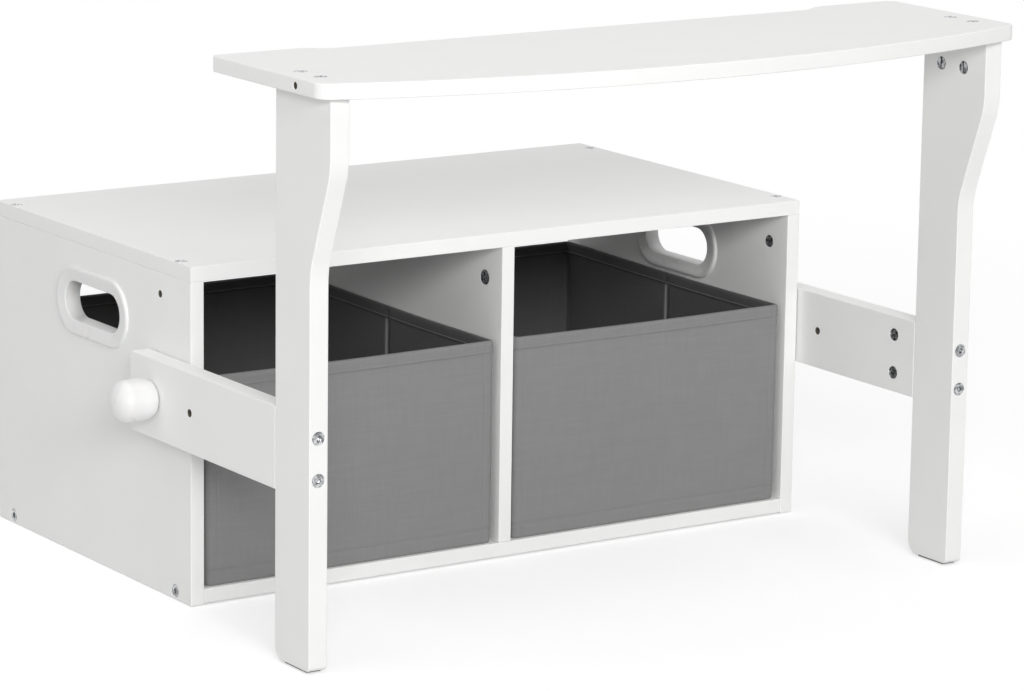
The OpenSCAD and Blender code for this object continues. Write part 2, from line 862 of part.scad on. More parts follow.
module bin_base_board() {
  color(grey_cloth) translate([bin_x, bin_y, bottom_top + bin_floor]) linear_extrude(base_board_t)
    round_rect(bin_inner_w - 4 * loose_fit, bin_inner_d - 4 * loose_fit, bin_corner_r - cloth_t);
}

module left_bin_shell() {
  mirror([1, 0, 0]) bin_shell();
}

module left_bin_binding() {
  mirror([1, 0, 0]) bin_binding();
}

module left_bin_stiffeners() {
  mirror([1, 0, 0]) bin_stiffeners();
}

module left_bin_base_board() {
  mirror([1, 0, 0]) bin_base_board();
}

module right_bin_shell() {
  bin_shell();
}

module right_bin_binding() {
  bin_binding();
}

module right_bin_stiffeners() {
  bin_stiffeners();
}

module right_bin_base_board() {
  bin_base_board();
}

seat_board();
left_side();
right_side();
divider();
bottom_board();
left_grip_outer();
left_grip_inner();
right_grip_outer();
right_grip_inner();
seat_bolts();
seat_barrel_nuts();
base_bolts();
base_barrel_nuts();
divider_cams();
divider_cam_pins();
box_dowels();
pivot_nuts();
pivot_spacers();
tabletop();
left_leg();
right_leg();
left_arm();
right_arm();
tabletop_bolts();
tabletop_barrel_nuts();
arm_bolts();
arm_barrel_nuts();
frame_dowels();
leg_glides();
left_knob();
left_knob_stud();
left_knob_washer();
right_knob();
right_knob_stud();
right_knob_washer();
left_bin_shell();
left_bin_binding();
left_bin_stiffeners();
left_bin_base_board();
right_bin_shell();
right_bin_binding();
right_bin_stiffeners();
right_bin_base_board();
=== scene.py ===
# %% [markdown]
# # A storage bench that turns into a play table
# The real object is a low white box on the floor. It has two cloth bins inside, and a U-shaped
# table frame that turns on a hand knob at each side. Its boards were drawn as exact solids before,
# so this lesson keeps them and gives them what a drawing has not: eased edges, lacquer, moulded
# plastic, plated steel and sewn cloth. Everything is in metres and already stands in its place.

import bpy
import math
from collections import namedtuple
from mathutils import Matrix, Vector, noise


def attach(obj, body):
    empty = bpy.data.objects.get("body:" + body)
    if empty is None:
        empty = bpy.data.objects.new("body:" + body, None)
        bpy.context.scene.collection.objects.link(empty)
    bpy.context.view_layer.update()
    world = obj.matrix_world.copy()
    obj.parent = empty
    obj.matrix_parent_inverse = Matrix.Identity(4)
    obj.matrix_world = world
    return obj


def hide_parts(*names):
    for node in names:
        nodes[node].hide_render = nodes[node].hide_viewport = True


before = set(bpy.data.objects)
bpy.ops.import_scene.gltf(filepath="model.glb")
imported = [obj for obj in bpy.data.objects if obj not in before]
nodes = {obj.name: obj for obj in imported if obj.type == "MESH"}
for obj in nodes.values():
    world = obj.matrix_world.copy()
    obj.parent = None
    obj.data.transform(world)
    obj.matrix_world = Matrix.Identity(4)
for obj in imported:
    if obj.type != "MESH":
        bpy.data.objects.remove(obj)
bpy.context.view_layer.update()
MM = 0.001

# %% [markdown]
# ## Camera
# The photograph looks down by about 12 degrees, from the front and the left, from far away, so the
# lens is long and lines that go back stay nearly parallel. A long lens is chosen instead of a
# shifted one, because a shift would push the object out of every other view. The pose is built by
# turning a camera that looks down: first its small roll, then its tilt, then its turn.

# %% Camera at the photograph's place
camera_data = bpy.data.cameras.new("view of the photograph")
camera_data.sensor_width = 36.0
camera_data.lens = 152.8
camera_data.clip_end = 60.0
camera = bpy.data.objects.new("camera", camera_data)
camera_place = Vector((-1.9127, -2.8979, 0.9300))
turn, tilt, roll = math.radians(-33.66), math.radians(90 - 12.27), math.radians(0.8)
camera.matrix_world = (
    Matrix.Translation(camera_place)
    @ Matrix.Rotation(turn, 4, "Z")
    @ Matrix.Rotation(tilt, 4, "X")
    @ Matrix.Rotation(roll, 4, "Z")
)
bpy.context.scene.collection.objects.link(camera)
bpy.context.scene.camera = camera
bpy.context.scene.view_settings.view_transform = "Standard"
print("camera stands", round((camera_place - Vector((0, 0, 0.22))).length, 2), "m from the object's middle")

# %% [markdown]
# ## Helpers for materials
# A colour is easiest to choose as the hex value of a picture program, but the shader calculates
# with linear light, so one function converts it. A second one gives a node's inputs their values
# or links them, and a third adds a node with its settings and inputs. Every finish below starts as
# an empty one and is made with these and nothing else.

# %% Colour and node helpers


def linear(hex_colour):
    """Linear RGBA of a colour that is written as an sRGB hex value."""
    parts = [int(hex_colour[i : i + 2], 16) / 255 for i in (1, 3, 5)]
    return [p / 12.92 if p <= 0.04045 else ((p + 0.055) / 1.055) ** 2.4 for p in parts] + [1.0]


def set_inputs(tree, node, inputs):
    """Gives inputs their values. A value that is the socket of another node is linked instead."""
    for name, value in inputs.items():
        if isinstance(value, bpy.types.NodeSocket):
            tree.links.new(value, node.inputs[name])
        else:
            node.inputs[name].default_value = value


def add(tree, kind, settings=None, inputs=None):
    """Adds a node. The settings are its own properties, the inputs are values or sockets to link."""
    node = tree.nodes.new(kind)
    for name, value in (settings or {}).items():
        setattr(node, name, value)
    set_inputs(tree, node, inputs or {})
    return node


def new_finish(name):
    """An empty material with its shader and the place on the object, in metres."""
    finish = bpy.data.materials.new(name)
    finish.use_nodes = True
    tree = finish.node_tree
    shader = tree.nodes["Principled BSDF"]
    place = add(tree, "ShaderNodeTexCoord").outputs["Object"]
    return finish, tree, shader, place


print("a white of #f5f5f4 in linear light:", [round(v, 3) for v in linear("#f5f5f4")[:3]])

# %% [markdown]
# ## White lacquer on MDF
# The boards are medium-density fibreboard with a sprayed white lacquer. Spraying leaves a satin
# skin that is almost flat: seen close up it has the faint dimples of orange peel, one to two
# millimetres wide, and the coat is a little thicker and glossier in soft clouds some centimetres
# wide. Noise at those two sizes gives both, and the gloss follows the clouds. The scale of a noise
# is about one over the size of its spots in metres.

# %% Sprayed lacquer
CLOUD_SIZE, DIMPLE_SIZE = 0.060, 0.0018


def sprayed_lacquer(name, clouds_at):
    """Lacquer whose clouds are moved by clouds_at, so that two assemblies don't have the same ones."""
    finish, tree, shader, place = new_finish(name)
    moved = add(tree, "ShaderNodeVectorMath", {"operation": "ADD"}, {0: place, 1: clouds_at}).outputs[0]
    clouds = add(tree, "ShaderNodeTexNoise", None, {"Vector": moved, "Scale": 1 / CLOUD_SIZE, "Detail": 3.0})
    coat = clouds.outputs["Fac"]
    shades = {0: coat, 6: linear("#f0f0ef"), 7: linear("#f5f5f4")}
    tone = add(tree, "ShaderNodeMix", {"data_type": "RGBA"}, shades)
    gloss = add(tree, "ShaderNodeMapRange", None, {"Value": coat, "To Min": 0.48, "To Max": 0.58})
    peel = add(tree, "ShaderNodeTexNoise", None, {"Vector": moved, "Scale": 1 / DIMPLE_SIZE, "Detail": 1.0})
    dimples = {"Height": peel.outputs["Fac"], "Strength": 0.35, "Distance": 0.00003}
    bump = add(tree, "ShaderNodeBump", None, dimples)
    surface = {"Base Color": tone.outputs[2], "Roughness": gloss.outputs[0], "Normal": bump.outputs[0]}
    set_inputs(tree, shader, surface | {"IOR": 1.5})
    return finish


box_lacquer = sprayed_lacquer("satin white lacquer on the box", (0.3, 0.1, 0.0))
frame_lacquer = sprayed_lacquer("satin white lacquer on the table frame", (1.7, 0.4, 0.9))
print("finishes:", box_lacquer.name, "and", frame_lacquer.name)

# %% [markdown]
# ## Moulded white ABS
# The hand grips and the knobs are injection-moulded ABS. The polished mould leaves them glossier
# than the lacquer, so their own white is a shade darker and the highlights make up for it. Thin
# edges are faintly translucent. The plastic flows into the mould in long swirls, which show only
# as slight changes in gloss, and the skin has a very fine grain.

# %% Moulded ABS
SWIRL_SIZE, SKIN_GRAIN = 0.025, 0.0006
moulded_abs, tree, shader, place = new_finish("moulded white ABS")
flow = {"Vector": place, "Scale": 1 / SWIRL_SIZE, "Detail": 2.0, "Distortion": 1.2}
swirls = add(tree, "ShaderNodeTexNoise", None, flow).outputs["Fac"]
shades = {0: swirls, 6: linear("#e6e6e5"), 7: linear("#ececeb")}
tone = add(tree, "ShaderNodeMix", {"data_type": "RGBA"}, shades)
gloss = add(tree, "ShaderNodeMapRange", None, {"Value": swirls, "To Min": 0.24, "To Max": 0.34})
grain = add(tree, "ShaderNodeTexNoise", None, {"Vector": place, "Scale": 1 / SKIN_GRAIN, "Detail": 0.0})
skin = {"Height": grain.outputs["Fac"], "Strength": 0.2, "Distance": 0.00002}
bump = add(tree, "ShaderNodeBump", None, skin)
surface = {"Base Color": tone.outputs[2], "Roughness": gloss.outputs[0], "Normal": bump.outputs[0]}
set_inputs(tree, shader, surface | {"IOR": 1.54, "Subsurface Weight": 0.05, "Subsurface Scale": 0.002})
print("finish:", moulded_abs.name)

# %% [markdown]
# ## Plated steel and cast zinc
# The bolts are zinc-plated steel. The barrel nuts and cams are cast from a zinc alloy, which is
# darker. Both were tumbled in a drum, which burnishes the high places and leaves the low ones dull
# and dark, in patches 3 mm wide. They are metals, so their colour sits in the reflection and the
# refractive index keeps its default.

# %% Tumbled zinc
PATCH_SIZE, PIT_SIZE = 0.003, 0.0005


def tumbled_zinc(name, dark, light):
    """Metal that is dull and dark in its low places and bright and smoother on its high ones."""
    finish, tree, shader, place = new_finish(name)
    patches = add(tree, "ShaderNodeTexNoise", None, {"Vector": place, "Scale": 1 / PATCH_SIZE, "Detail": 2.0})
    # Noise seldom leaves its middle range, so that range is spread over the whole way to burnished
    middle = {"Value": patches.outputs["Fac"], "From Min": 0.38, "From Max": 0.62}
    worn = add(tree, "ShaderNodeMapRange", None, middle).outputs[0]
    shades = {0: worn, 6: linear(dark), 7: linear(light)}
    tone = add(tree, "ShaderNodeMix", {"data_type": "RGBA"}, shades)
    gloss = add(tree, "ShaderNodeMapRange", None, {"Value": worn, "To Min": 0.45, "To Max": 0.28})
    pits = add(tree, "ShaderNodeTexNoise", None, {"Vector": place, "Scale": 1 / PIT_SIZE, "Detail": 2.0})
    dents = {"Height": pits.outputs["Fac"], "Strength": 0.3, "Distance": 0.00003}
    bump = add(tree, "ShaderNodeBump", None, dents)
    surface = {"Base Color": tone.outputs[2], "Roughness": gloss.outputs[0], "Normal": bump.outputs[0]}
    set_inputs(tree, shader, surface | {"Metallic": 1.0})
    return finish


zinc_plate = tumbled_zinc("zinc-plated steel", "#7f8184", "#dadbdc")
cast_zinc = tumbled_zinc("tumbled zinc casting", "#3c3d40", "#b8b9bb")
print("finishes:", zinc_plate.name, "and", cast_zinc.name)

# %% [markdown]
# ## Grey non-woven cloth
# The bins are sewn from non-woven polypropylene, dyed mid grey: a thin felt that hot rollers weld
# together and press with a linen pattern. The pattern is a chequerboard of small humps 0.9 mm
# apart, so the product of two sine waves draws it. The cloth is matt and has a faint sheen at
# grazing angles. Its fibres lie unevenly, which shows as streaks 30 mm long and 2 mm wide in both
# directions. Inside the bins the faces get a darker grey of the same cloth. This is painted shade,
# deeper than the lamps alone make there. The painted shade stops at the fold in each side wall,
# and the plain cloth shows there as a light line.

# %% Embossed cloth
HUMP_PITCH, STREAK_LENGTH, STREAK_WIDTH = 0.0009, 0.030, 0.002


def embossed_cloth(name, across, along, dark, light):
    """Cloth whose pattern runs along two directions, each given as weights of X, Y and Z."""
    finish, tree, shader, place = new_finish(name)
    waves, streaks = [], []
    for direction in (across, along):
        run = add(tree, "ShaderNodeVectorMath", {"operation": "DOT_PRODUCT"}, {0: place, 1: direction})
        turns = {0: run.outputs["Value"], 1: math.pi / HUMP_PITCH}
        phase = add(tree, "ShaderNodeMath", {"operation": "MULTIPLY"}, turns)
        waves.append(add(tree, "ShaderNodeMath", {"operation": "SINE"}, {0: phase.outputs[0]}).outputs[0])
        # The spots of a noise are as long as they are wide, so the place is squeezed along a streak
        squeeze = [1 / STREAK_WIDTH if weight else 1 / STREAK_LENGTH for weight in direction]
        held = add(tree, "ShaderNodeVectorMath", {"operation": "MULTIPLY"}, {0: place, 1: squeeze})
        lay = {"Vector": held.outputs[0], "Scale": 1.0, "Detail": 2.0}
        streaks.append(add(tree, "ShaderNodeTexNoise", None, lay).outputs["Fac"])
    humps = add(tree, "ShaderNodeMath", {"operation": "MULTIPLY"}, {0: waves[0], 1: waves[1]}).outputs[0]
    uneven = add(tree, "ShaderNodeMath", {"operation": "ADD"}, {0: streaks[0], 1: streaks[1]}).outputs[0]
    layers = {0: humps, 1: 0.25, 2: uneven}
    relief = add(tree, "ShaderNodeMath", {"operation": "MULTIPLY_ADD"}, layers).outputs[0]
    shade = add(tree, "ShaderNodeMapRange", None, {"Value": relief, "From Min": 0.4, "From Max": 1.6})
    shades = {0: shade.outputs[0], 6: linear(dark), 7: linear(light)}
    tone = add(tree, "ShaderNodeMix", {"data_type": "RGBA"}, shades)
    bump = add(tree, "ShaderNodeBump", None, {"Height": relief, "Strength": 0.5, "Distance": 0.00012})
    surface = {"Base Color": tone.outputs[2], "Roughness": 0.92, "Normal": bump.outputs[0]}
    sheen = {"Specular IOR Level": 0.25, "Sheen Weight": 0.08, "Sheen Roughness": 0.5}
    set_inputs(tree, shader, surface | sheen)
    return finish


# On an upright wall the sideways coordinate is X or Y, whichever changes, so their sum serves both
SIDEWAYS, UPWARDS = (1, 1, 0), (0, 0, 1)
wall_cloth = embossed_cloth("embossed grey cloth", SIDEWAYS, UPWARDS, "#838383", "#8c8c8c")
binding_cloth = embossed_cloth("folded grey cloth tape", SIDEWAYS, UPWARDS, "#818181", "#8a8a8a")
# The same cloth in a darker grey: painted shade for the faces inside the bins
painted_shade_cloth = embossed_cloth("painted shade on the inner walls", SIDEWAYS, UPWARDS, "#535353", "#5a5a5a")
# The same cloth in a darker grey again: painted shade for the bins' floors
painted_shade_floor_cloth = embossed_cloth("painted shade on the bins' floors", (1, 0, 0), (0, 1, 0), "#535353", "#5a5a5a")
print("finishes:", [m.name for m in (wall_cloth, binding_cloth, painted_shade_cloth, painted_shade_floor_cloth)])

# %% [markdown]
# ## Small and hidden finishes
# The bins' thread, the beech dowels, the grey board in the bins' walls, the felt under the legs and
# the bare fibreboard in the drilled holes are small or hidden, but anyone who takes the object
# apart sees them. Each gets the pattern of its own making: twisted plies, growth rings, matted
# pulp and pressed fibres.

# %% Sewing thread, beech, grey board, felt and bare fibreboard


def fibrous(name, stretch, dark, light, roughness, depth):
    """A dull finish whose streaks have the three given sizes along X, Y and Z, in metres."""
    finish, tree, shader, place = new_finish(name)
    squeeze = [1 / size for size in stretch]
    held = add(tree, "ShaderNodeVectorMath", {"operation": "MULTIPLY"}, {0: place, 1: squeeze})
    lay = {"Vector": held.outputs[0], "Scale": 1.0, "Detail": 4.0, "Distortion": 0.4}
    fibres = add(tree, "ShaderNodeTexNoise", None, lay).outputs["Fac"]
    tone = add(tree, "ShaderNodeMix", {"data_type": "RGBA"}, {0: fibres, 6: linear(dark), 7: linear(light)})
    bump = add(tree, "ShaderNodeBump", None, {"Height": fibres, "Strength": 0.5, "Distance": depth})
    surface = {"Base Color": tone.outputs[2], "Roughness": roughness, "Normal": bump.outputs[0]}
    set_inputs(tree, shader, surface)
    return finish


PLY, RING, PULP, FELT, FIBRE = 0.0004, 0.0012, 0.003, 0.0015, 0.0006
sewing_thread = fibrous("twisted polyester thread", (PLY, PLY, PLY), "#868788", "#989999", 0.6, 0.00005)
beech = fibrous("turned beech", (RING, RING, 0.020), "#c9a878", "#e2c79c", 0.6, 0.00005)
grey_board = fibrous("pressed grey board", (PULP, PULP, 0.001), "#8a7d6c", "#a59886", 0.9, 0.0001)
felt = fibrous("pressed grey felt", (FELT, FELT, 0.0005), "#6e6e6e", "#8c8c8c", 1.0, 0.0003)
drilled = (FIBRE, FIBRE, FIBRE)
# Bare board in a darker brown than it has: painted shade for the deep holes
bare_and_shaded_board = fibrous("bare fibreboard with painted shade in drilled holes", drilled, "#4d483f", "#665f53", 0.95, 0.0001)
print("finishes:", [m.name for m in (sewing_thread, beech, grey_board, felt, bare_and_shaded_board)])

# %% [markdown]
# ## Eased edges on the boards
# A board that is sawn and then sprayed never keeps a knife edge: it is sanded round by about one
# millimetre, and this thin round catches the light along every edge. The drawing's solids have
# sharp edges, and their mesh may not be changed, so modifiers do it. The first joins the faces,
# the second merges the flat triangles, the third rounds what is left, and the last one keeps the
# wide faces flat in the shading.

# %% A helper that eases edges


def ease_edges(names, width, steps):
    """Rounds the sharp edges of solids to a width in millimetres."""
    for name in names:
        solid = nodes[name]
        for face in solid.data.polygons:
            face.use_smooth = True
        join = solid.modifiers.new("join faces", "WELD")
        join.merge_threshold = 0.01 * MM
        merge = solid.modifiers.new("merge flat triangles", "DECIMATE")
        merge.decimate_type = "DISSOLVE"
        merge.angle_limit = math.radians(0.4)
        ease = solid.modifiers.new("eased edges", "BEVEL")
        ease.width = width * MM
        ease.segments = steps
        ease.limit_method = "ANGLE"
        ease.angle_limit = math.radians(35)
        ease.use_clamp_overlap = False
        # Thin edges join a merged face to its holes, and a round that slides along them tears the face
        ease.loop_slide = False
        solid.modifiers.new("flat faces stay flat", "WEIGHTED_NORMAL")


# %% [markdown]
# The bolts' heads are eased too, by a quarter of a millimetre. The seat gets a smaller round than
# the other boards, because its bolts lie so near its edge that a round of 0.9 mm would run into
# their holes.

# %% Dress the boards and the metal


def finish_with(names, material):
    """Gives solids one finish."""
    for name in names:
        slots = nodes[name].data.materials
        slots.clear()
        slots.append(material)


box_boards = ["seat_board", "left_side", "right_side", "divider", "bottom_board"]
frame_boards = ["tabletop", "left_leg", "right_leg", "left_arm", "right_arm"]
base_boards = ["left_bin_base_board", "right_bin_base_board"]
bolts = ["seat_bolts", "tabletop_bolts", "arm_bolts", "base_bolts"]
knob_steel = ["left_knob_stud", "right_knob_stud", "left_knob_washer", "right_knob_washer"]
hidden_steel = ["divider_cam_pins", "pivot_nuts"] + knob_steel
castings = ["seat_barrel_nuts", "base_barrel_nuts", "divider_cams", "tabletop_barrel_nuts", "arm_barrel_nuts"]
finish_with(box_boards, box_lacquer)
finish_with(frame_boards, frame_lacquer)
finish_with(bolts + hidden_steel, zinc_plate)
finish_with(castings, cast_zinc)
finish_with(["left_knob", "right_knob", "pivot_spacers"], moulded_abs)
finish_with(["box_dowels", "frame_dowels"], beech)
finish_with(["left_bin_stiffeners", "right_bin_stiffeners"], grey_board)
# The bins' floors get the cloth with painted shade
finish_with(base_boards, painted_shade_floor_cloth)
finish_with(["leg_glides"], felt)
ease_edges(["seat_board"], 0.4, 2)
ease_edges(box_boards[1:] + frame_boards, 0.9, 3)
ease_edges(base_boards, 1.0, 3)
ease_edges(bolts, 0.25, 2)
print("boards with eased edges:", len(box_boards + frame_boards))

# %% [markdown]
# The small holes in the sides, the arms and the tabletop's ends are drilled after spraying, so bare
# fibreboard shows in them. Its brown is darker than bare board, painted shade deep in the holes.
# The holes all run along X, so a face belongs to a hole if its middle lies close to the hole's axis.

# %% Bare board in the small holes
HOLE_REACH = 2.8 * MM
small_holes = {
    "left_side": (29.5, 242.5),
    "right_side": (29.5, 242.5),
    "left_arm": (-47, 164),
    "right_arm": (-47, 164),
    "tabletop": (-223, 444),
}
for name, (y, z) in small_holes.items():
    board = nodes[name].data
    board.materials.append(bare_and_shaded_board)
    axis = Vector((y * MM, z * MM))
    inner = [face for face in board.polygons if (Vector(face.center[1:]) - axis).length < HOLE_REACH]
    for face in inner:
        face.material_index = 1
    print(name, "has", len(inner), "faces of bare board")

# %% [markdown]
# ## Helpers for new pieces
# Grips, bins and tape all have one cross-section that travels round a loop. If the cross-section
# is a list of rings with the same number of points, quads between neighbouring rings make the
# skin, and no modelling by hand is needed.

# %% Lofting


def new_piece(name, points, faces, material, body):
    """Makes a mesh from points in millimetres, which moves with a body."""
    mesh = bpy.data.meshes.new(name)
    mesh.from_pydata([tuple(v * MM for v in point) for point in points], [], faces)
    mesh.materials.append(material)
    piece = bpy.data.objects.new(name, mesh)
    bpy.context.scene.collection.objects.link(piece)
    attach(piece, body)
    return piece


def loft(name, rings, closed_section, material, body, cap_ends=False):
    """Joins rings of points with quads. A closed section also joins the last ring to the first."""
    count = len(rings[0])
    faces = []
    for r in range(len(rings) - (0 if closed_section else 1)):
        a, b = r * count, (r + 1) % len(rings) * count
        for i in range(count):
            j = (i + 1) % count
            faces.append((a + i, a + j, b + j, b + i))
    if cap_ends:
        faces.append(tuple(reversed(range(count))))
        faces.append(tuple(range((len(rings) - 1) * count, len(rings) * count)))
    piece = new_piece(name, [point for ring in rings for point in ring], faces, material, body)
    for face in piece.data.polygons:
        face.use_smooth = True
    return piece


def racetrack(width, height, steps=28):
    """Points of a rectangle with half-round ends, as pairs, in millimetres."""
    half, r = (width - height) / 2, height / 2
    points = []
    for end in (1, -1):
        for i in range(steps + 1):
            a = math.radians(-90 + 180 * i / steps)
            points.append((end * (half + r * math.cos(a)), end * r * math.sin(a)))
    return points


print("points on one racetrack:", len(racetrack(120, 56)))

# %% [markdown]
# ## Hand grips
# Each grip has two halves that snap together through the side board. A moulded part of this kind
# is never flat: its rim is rounded over so that it has no edge to catch on, and the flange dishes
# down towards the finger hole. The section is given as a width, a height and a place across the
# board, and it travels round a racetrack whose size follows the section.

# %% Model the four halves
outer_section = [
    (92, 32, 295.0), (92, 32, 295.4), (92.5, 32.5, 295.8), (93.6, 33.6, 296.05), (98, 37.4, 296.3),
    (104, 42.4, 296.7), (109, 46.6, 297.15), (113, 50.0, 297.45), (115.5, 52.2, 297.5),
    (117.6, 53.9, 297.3), (119.1, 55.2, 296.7), (119.8, 55.85, 295.9), (120, 56, 295.0),
    (102.2, 42.2, 295.0), (102.2, 42.2, 283.0), (97.2, 37.2, 283.0), (97.2, 37.2, 295.0),
]
inner_section = [
    (92, 32, 294.9), (97, 37, 294.9), (97, 37, 283.0), (120, 56, 283.0), (119.8, 55.85, 282.1),
    (119.1, 55.2, 281.3), (117.6, 53.9, 280.7), (115.5, 52.2, 280.5), (113, 50.0, 280.55),
    (109, 46.6, 280.85), (104, 42.4, 281.3), (98, 37.4, 281.7), (93.6, 33.6, 281.95),
    (92.5, 32.5, 282.2), (92, 32, 282.6),
]
GRIP_Y, GRIP_Z = 141.0, 212.0
for side, word in ((-1, "left"), (1, "right")):
    for half, section in (("outer", outer_section), ("inner", inner_section)):
        rings = [[(side * x, GRIP_Y + y, GRIP_Z + z) for y, z in racetrack(w, h)] for w, h, x in section]
        # These two would be inside out, so their rings run the other way
        if (side > 0) == (half == "outer"):
            rings = [ring[::-1] for ring in rings]
        grip = loft(f"{word}_grip_{half}_moulding", rings, True, moulded_abs, "box")
        crease = grip.modifiers.new("keep the sharp collar", "EDGE_SPLIT")
        crease.split_angle = math.radians(50)
        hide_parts(f"{word}_grip_{half}")
        print(grip.name, "has", len(grip.data.polygons), "faces")

# %% [markdown]
# ## Cloth bins
# A bin is a bag of cloth with boards in its walls. The boards keep the walls upright, so cloth
# simulation would only make them limp. What gives the cloth away is small: it stands off the
# boards a little in the middle of each wall, pulls in at every row of stitches, puckers beside
# them, and folds inwards down the middle of both side walls, where the bin folds flat. So the
# wall is a loft of level loops, and a function says how far each point stands out. All sizes are
# in millimetres. The loops are walked once round, closely at seams and folds and widely between.

# %% Path round a bin
BIN_X, BIN_Y = 144.5, 143.5
HALF_W, HALF_D = 134.0, 159.5
BIN_LOW, BIN_RIM = 13.0, 182.4
WALL, CORNER = 3.4, 5.0
SEAM_INSET = 4.0
PLAIN_STEP, LEAST_STEP, CORNER_STEPS = 6, 0.6, 6
MARK_STEPS = (-2.4, -1.6, -0.8, 0, 0.8, 1.6, 2.4)
FOLDED_WALLS = ("right", "left")
BINS = ((-1, "left", 3.1), (1, "right", 7.7))
WallPoint = namedtuple("WallPoint", "x y out_x out_y wall share across")


def spaced(length, marks):
    """Distances from 0 to the length: plain ones, and closer ones round the marks."""
    count = round(length / PLAIN_STEP)
    plain = [length * i / count for i in range(count + 1)]
    near = [mark + step for mark in marks for step in MARK_STEPS if 0 < mark + step < length]
    return sorted(near + [p for p in plain if all(abs(p - n) > LEAST_STEP for n in near)])


def bin_path():
    """Points once round a bin. Share goes from 0 to 1 along a wall, across is counted from its middle."""
    straight_w, straight_d = 2 * (HALF_W - CORNER), 2 * (HALF_D - CORNER)
    walls = (
        ("front", straight_w, 0, -1),
        ("right", straight_d, 1, 0),
        ("back", straight_w, 0, 1),
        ("left", straight_d, -1, 0),
    )
    points = []
    for wall, length, nx, ny in walls:
        marks = [SEAM_INSET, length - SEAM_INSET] + ([length / 2] if wall in FOLDED_WALLS else [])
        for s in spaced(length, marks):
            across = s - length / 2
            x = nx * HALF_W - ny * across
            y = ny * HALF_D + nx * across
            points.append(WallPoint(x, y, nx, ny, wall, s / length, across))
        turn = math.atan2(ny, nx)
        corner_x = (HALF_W - CORNER) * (nx - ny)
        corner_y = (HALF_D - CORNER) * (ny + nx)
        for i in range(1, CORNER_STEPS):
            a = turn + math.radians(90 * i / CORNER_STEPS)
            out_x, out_y = math.cos(a), math.sin(a)
            x, y = corner_x + CORNER * out_x, corner_y + CORNER * out_y
            points.append(WallPoint(x, y, out_x, out_y, "corner", 0.0, 0.0))
    return points


path = bin_path()
print("points round one bin:", len(path))

# %% [markdown]
# Three functions say how the cloth lies. One is the fold in a side wall, one is the distance from
# the board, and one is the rim's sag. The noise in them depends only on the place and on a seed
# for each bin, so the script gives the same cloth each time, and the two bins are not alike.

# %% How the cloth lies
BOTTOM_SEAM, TAPE_LEVEL = 25.0, 172.0
FOLD_REACH, FOLD_EASE = 2.4, 0.8
UNEVEN, BULGE, PUCKER = 0.22, 0.5, 0.20
SEAM_DIP, FOLD_DIP, BOTTOM_DIP, BOARD_STOP = 0.35, 0.6, 0.55, 0.6
INNER_SHARE, INNER_SEED = 0.6, 9
SAG_FROM, SAG_HEIGHT, RIM_SAG, REAR_LIFT = 120, 62, 0.7, 1.6


def groove(distance, width):
    """A smooth dip, 1 at its middle and 0 beyond the width."""
    return max(0.0, 1 - (distance / width) ** 2) ** 2


def fold(point):
    """1 in the 4 mm wide gap between the boards of a side wall, where the bin folds flat, and 0 beside it."""
    if point.wall not in FOLDED_WALLS:
        return 0.0
    t = min(1.0, max(0.0, (FOLD_REACH - abs(point.across)) / FOLD_EASE))
    return t * t * (3 - 2 * t)


def stand_off(point, z, seed):
    """How far the cloth stands off outwards. The board behind it stops it on the way in."""
    height = (z - BIN_LOW) / (BIN_RIM - BIN_LOW)
    off = UNEVEN * noise.noise(Vector((point.x / 45, point.y / 45 + seed, z / 30)))
    if point.wall != "corner":
        # A soft bulge in the middle of the wall, the seams beside the corners, and the fold
        bulge = math.sin(math.pi * point.share) ** 0.7 * math.sin(math.pi * min(1, max(0, height))) ** 0.7
        half_length = (HALF_D if point.wall in FOLDED_WALLS else HALF_W) - CORNER
        off += BULGE * bulge
        off -= SEAM_DIP * groove(half_length - abs(point.across) - SEAM_INSET, 1.6)
        off -= FOLD_DIP * fold(point)
    # Puckers beside the tape and the bottom seam, the seam's own groove, and the turn to the floor
    pucker = noise.noise(Vector((point.x / 7, point.y / 7 + seed, z / 26)))
    off += PUCKER * pucker * (groove(z - TAPE_LEVEL, 16) + 0.7 * groove(z - BOTTOM_SEAM, 12))
    off -= BOTTOM_DIP * groove(z - BOTTOM_SEAM, 1.8)
    if z < BOTTOM_SEAM:
        off -= BOTTOM_DIP * (BOTTOM_SEAM - z) / (BOTTOM_SEAM - BIN_LOW)
    return max(-BOARD_STOP, off)


def cloth_lie(point, z, seed, outside):
    """How far the outer or inner face lies outwards of its plain place. The inner one lies flatter."""
    return stand_off(point, z, seed) if outside else -INNER_SHARE * stand_off(point, z, seed + INNER_SEED)


def sag(point, z):
    """How far the rim hangs in the middle of a wall. At the back it stands a little higher instead."""
    share = max(0.0, (z - SAG_FROM) / SAG_HEIGHT)
    backwards = (point.y + HALF_D) / (2 * HALF_D)
    lift = REAR_LIFT * min(1.0, max(0.0, backwards - 0.3) / 0.6)
    hang = RIM_SAG * math.sin(math.pi * point.share) if point.wall not in ("back", "corner") else 0.0
    return share * (hang - lift)


def on_bin(side, point, out, z):
    """The place of a point of the path that is moved outwards, at a height, on the left or right bin."""
    return (side * BIN_X + point.x + point.out_x * out, BIN_Y + point.y + point.out_y * out, z)


front_bulge = max(stand_off(point, 100, BINS[0][2]) for point in path if point.wall == "front")
print("the left bin's front bulges by up to", round(front_bulge, 2), "mm")

# %% [markdown]
# The wall's section goes up outside, over the rim and down inside to the floor. Rows lie close
# together where something happens, at the floor, at the bottom seam and at the rim, and a hand's
# breadth of plain wall needs only a few. In the lowest rows the cloth is tucked in under the bin.
# The inside starts at the rim and ends on the floor, 1.2 mm above the outside's.

